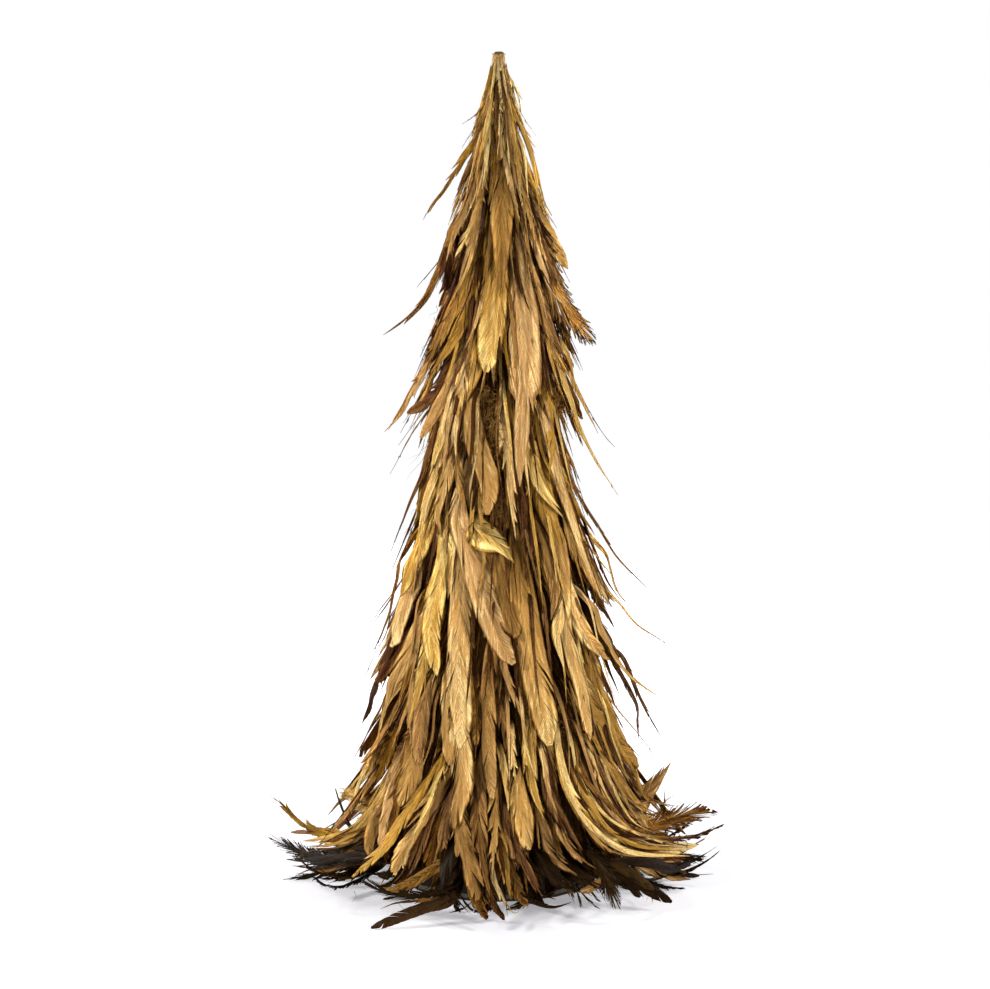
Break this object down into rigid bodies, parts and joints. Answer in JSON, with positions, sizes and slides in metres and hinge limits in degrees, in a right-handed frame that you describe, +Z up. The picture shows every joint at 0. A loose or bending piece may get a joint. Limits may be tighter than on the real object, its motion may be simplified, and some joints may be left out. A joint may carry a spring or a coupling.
{
  "type": "feather christmas tree",
  "caption": "Slim cone-shaped table-top Christmas tree dressed in overlapping rows of gilded rooster feathers, with a splayed skirt of natural black feathers at its foot.",
  "frame": {"origin": "centre of the felt pad's underside, on the table that the tree stands on", "axes": "+Z up along the tree's axis to its tip; the pictured front faces -Y"},
  "size_m": [0.334, 0.335, 0.61],
  "materials": {
    "painted_foam": "matte",
    "grey_board": "matte",
    "brown_felt": "matte",
    "gold_paper": "satin",
    "brown_tape": "matte",
    "gilded_feather": "satin",
    "black_feather": "satin"
  },
  "bodies": {
    "root": {"foam_cone": "painted_foam", "base_disc": "grey_board", "felt_pad": "brown_felt", "tip_wrap": "gold_paper", "header_tape_01": "brown_tape", "feather_row_01": "gilded_feather", "header_tape_02": "brown_tape", "feather_row_02": "gilded_feather", "header_tape_03": "brown_tape", "feather_row_03": "gilded_feather", "header_tape_04": "brown_tape", "feather_row_04": "gilded_feather", "header_tape_05": "brown_tape", "feather_row_05": "gilded_feather", "header_tape_06": "brown_tape", "feather_row_06": "gilded_feather", "header_tape_07": "brown_tape", "feather_row_07": "gilded_feather", "header_tape_08": "brown_tape", "feather_row_08": "gilded_feather", "header_tape_09": "brown_tape", "feather_row_09": "gilded_feather", "header_tape_10": "brown_tape", "feather_row_10": "gilded_feather", "header_tape_11": "brown_tape", "feather_row_11": "gilded_feather", "header_tape_12": "brown_tape", "feather_row_12": "gilded_feather", "skirt_tape": "brown_tape", "black_feather_skirt": "black_feather"}
  },
  "joints": []
}
